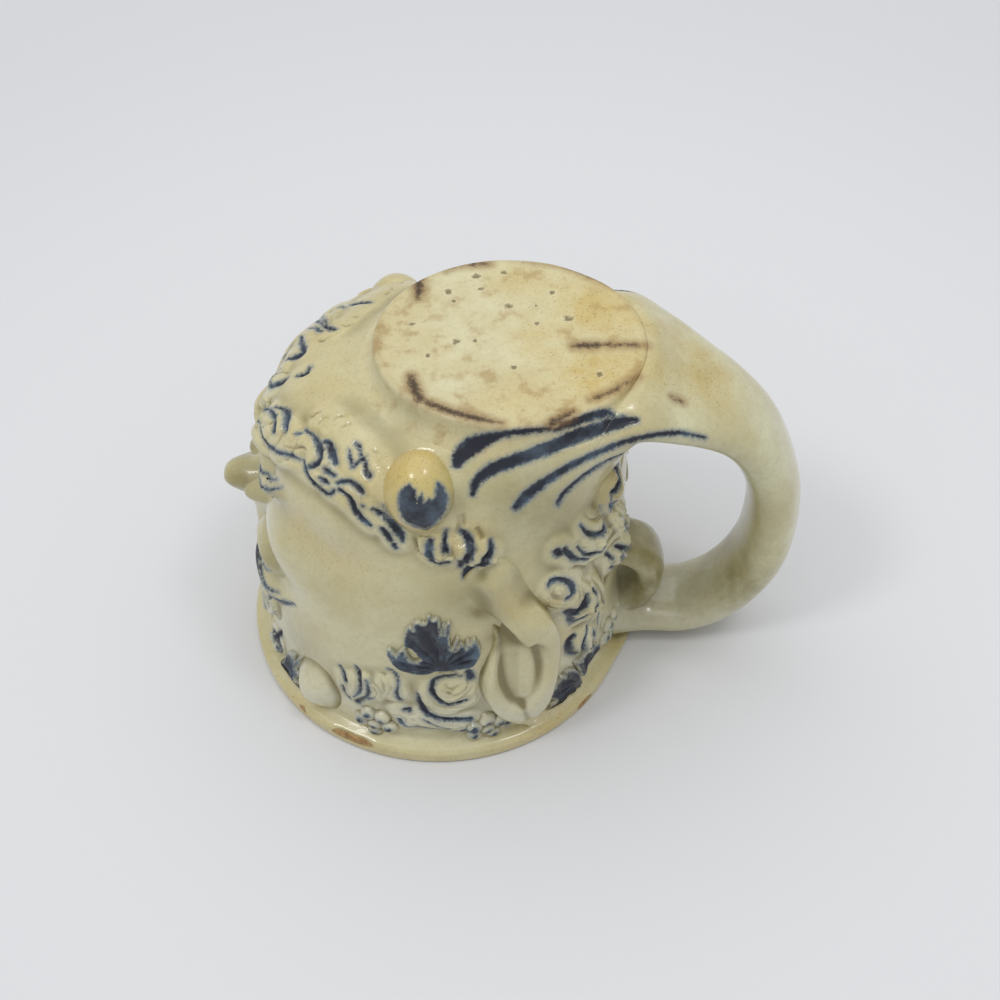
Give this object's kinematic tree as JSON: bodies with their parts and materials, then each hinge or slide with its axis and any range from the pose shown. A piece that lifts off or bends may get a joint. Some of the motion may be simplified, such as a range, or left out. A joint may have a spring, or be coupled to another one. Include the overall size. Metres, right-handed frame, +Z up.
{
  "type": "mask mug",
  "caption": "Cream-glazed mug modelled as a bearded satyr mask with vine wreath, pointed ears and a strap handle; stands mouth down on its rim and holds a drink when turned over.",
  "frame": {"origin": "centre of the bounding box at the rim's plane, on which the mug stands mouth down", "axes": "+Z up out of the foot, +X towards the handle, the mask looks along -X, +-Y are its sides"},
  "size_m": [0.1456, 0.1014, 0.105],
  "materials": {
    "cream_glaze": "glossy lead glaze over a pale body, finely crazed, ochre tint in the hollows",
    "handle_glaze": "glossy lead glaze with an ochre sponge at the root and blue brush strokes",
    "ochre_beard": "glossy lead glaze stained ochre, tip painted cobalt blue",
    "cobalt_painted_leaf": "cobalt blue brushwork under a glossy lead glaze",
    "painted_hair": "glossy lead glaze with cobalt blue dabs between the strands"
  },
  "bodies": {
    "root": {"mug_wall": "cream_glaze", "foot_slab": "cream_glaze", "handle": "handle_glaze", "handle_scroll": "handle_glaze", "beard_knob_right": "ochre_beard", "beard_knob_left": "ochre_beard", "grapes_front_right": "cream_glaze", "grapes_front_left": "cream_glaze", "grapes_side_right": "cream_glaze", "grapes_side_left": "cream_glaze", "grapes_nape_right": "cream_glaze", "grapes_nape_left": "cream_glaze", "ear_right": "cream_glaze", "ear_left": "cream_glaze", "fruit_right": "cream_glaze", "fruit_left": "cream_glaze", "brow_leaf_right": "cobalt_painted_leaf", "brow_leaf_left": "cobalt_painted_leaf", "temple_leaf_right": "cobalt_painted_leaf", "temple_leaf_left": "cobalt_painted_leaf", "nape_leaf_right": "cobalt_painted_leaf", "nape_leaf_left": "cobalt_painted_leaf", "nape_leaf_small_right": "cobalt_painted_leaf", "nape_leaf_small_left": "cobalt_painted_leaf", "wreath_curl_front_right": "painted_hair", "wreath_curl_front_left": "painted_hair", "wreath_curl_middle_right": "painted_hair", "wreath_curl_middle_left": "painted_hair", "wreath_curl_side_right": "painted_hair", "wreath_curl_side_left": "painted_hair", "wreath_curl_rim_right": "painted_hair", "wreath_curl_rim_left": "painted_hair", "temple_curl_right": "painted_hair", "temple_curl_left": "painted_hair", "nape_curl_foot_right": "painted_hair", "nape_curl_foot_left": "painted_hair", "nape_curl_upper_right": "painted_hair", "nape_curl_upper_left": "painted_hair", "nape_curl_middle_right": "painted_hair", "nape_curl_middle_left": "painted_hair", "nape_curl_lower_right": "painted_hair", "nape_curl_lower_left": "painted_hair", "beard_curl_front_right": "painted_hair", "beard_curl_front_left": "painted_hair", "beard_curl_jaw_right": "painted_hair", "beard_curl_jaw_left": "painted_hair", "beard_curl_cheek_right": "painted_hair", "beard_curl_cheek_left": "painted_hair", "beard_curl_side_right": "painted_hair", "beard_curl_side_left": "painted_hair", "cheek_lock_right": "painted_hair", "cheek_lock_left": "painted_hair", "cheek_lock_back_right": "painted_hair", "cheek_lock_back_left": "painted_hair", "sickle_lock_right": "painted_hair", "sickle_lock_left": "painted_hair", "chin_lock_right": "painted_hair", "chin_lock_left": "painted_hair"}
  },
  "joints": []
}
